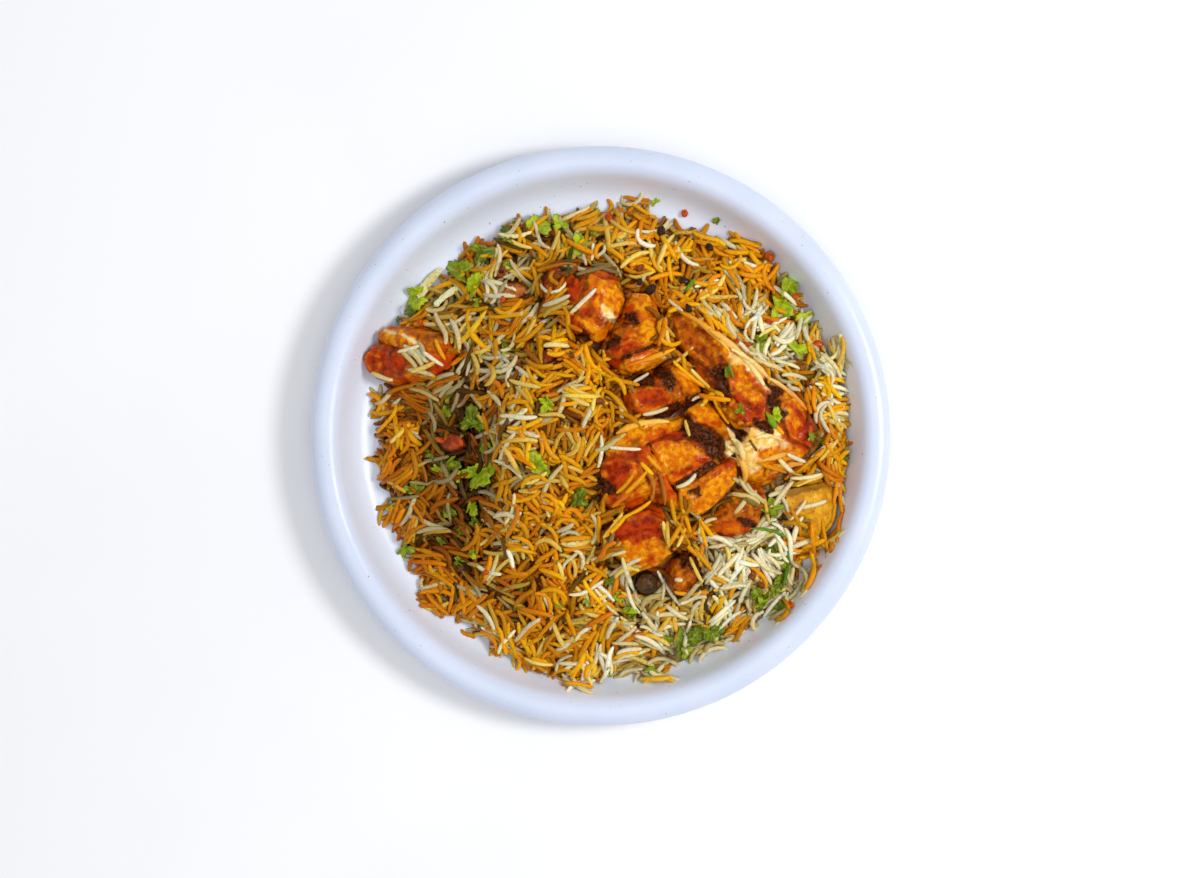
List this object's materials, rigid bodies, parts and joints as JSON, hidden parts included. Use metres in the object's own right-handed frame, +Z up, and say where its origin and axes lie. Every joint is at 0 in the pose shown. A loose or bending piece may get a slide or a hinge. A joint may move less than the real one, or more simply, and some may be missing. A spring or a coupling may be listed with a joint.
{
  "type": "biryani",
  "caption": "Chicken biryani heaped on a round melamine plate: long-grain white and saffron rice with roast chicken pieces, vegetables and chopped coriander.",
  "frame": {"origin": "centre of the plate's foot ring, on the table", "axes": "+Z up from the table; +X to the right and +Y away from a diner who faces the plate, with the chicken on the right"},
  "size_m": [0.28, 0.28, 0.0576],
  "materials": {
    "melamine": "glossy bluish-white melamine",
    "rice": "moist cooked long-grain rice, from white through saffron yellow to orange",
    "roast_chicken": "spiced, charred and oiled roast chicken, pale where it is torn",
    "potato": "fried potato, yellow with a darker rim",
    "plum": "shiny wrinkled dried plum",
    "red_vegetable": "soft cooked red vegetable",
    "onion": "pale translucent onion",
    "yellow_pepper": "moist yellow pepper strip",
    "coriander": "fresh chopped coriander leaf and stem"
  },
  "bodies": {
    "root": {"plate": "melamine", "rice_heap": "rice", "chicken_knuckle": "roast_chicken", "chicken_shoulder": "roast_chicken", "chicken_middle": "roast_chicken", "chicken_breast": "roast_chicken", "chicken_thigh": "roast_chicken", "chicken_thigh_end": "roast_chicken", "chicken_tip": "roast_chicken", "chicken_flank": "roast_chicken", "drumstick_end": "roast_chicken", "meat_scrap_0": "roast_chicken", "meat_scrap_1": "roast_chicken", "potato_slice": "potato", "dried_plum": "plum", "carrot_scrap": "red_vegetable", "tomato_scrap": "red_vegetable", "onion_shard_0": "onion", "onion_shard_1": "onion", "pepper_strip": "yellow_pepper", "coriander_stem_0": "coriander", "coriander_stem_1": "coriander", "loose_crumb": "rice", "coriander_leaf_00": "coriander", "coriander_leaf_01": "coriander", "coriander_leaf_02": "coriander", "coriander_leaf_03": "coriander", "coriander_leaf_04": "coriander", "coriander_leaf_05": "coriander", "coriander_leaf_06": "coriander", "coriander_leaf_07": "coriander", "coriander_leaf_08": "coriander", "coriander_leaf_09": "coriander", "coriander_leaf_10": "coriander", "coriander_leaf_11": "coriander", "coriander_leaf_12": "coriander", "coriander_leaf_13": "coriander", "coriander_leaf_14": "coriander", "coriander_leaf_15": "coriander", "coriander_leaf_16": "coriander", "coriander_leaf_17": "coriander", "coriander_leaf_18": "coriander", "coriander_leaf_19": "coriander", "coriander_leaf_20": "coriander", "coriander_leaf_21": "coriander", "coriander_leaf_22": "coriander", "coriander_leaf_23": "coriander", "coriander_leaf_24": "coriander", "coriander_leaf_25": "coriander", "coriander_leaf_26": "coriander", "coriander_leaf_27": "coriander"}
  },
  "joints": []
}
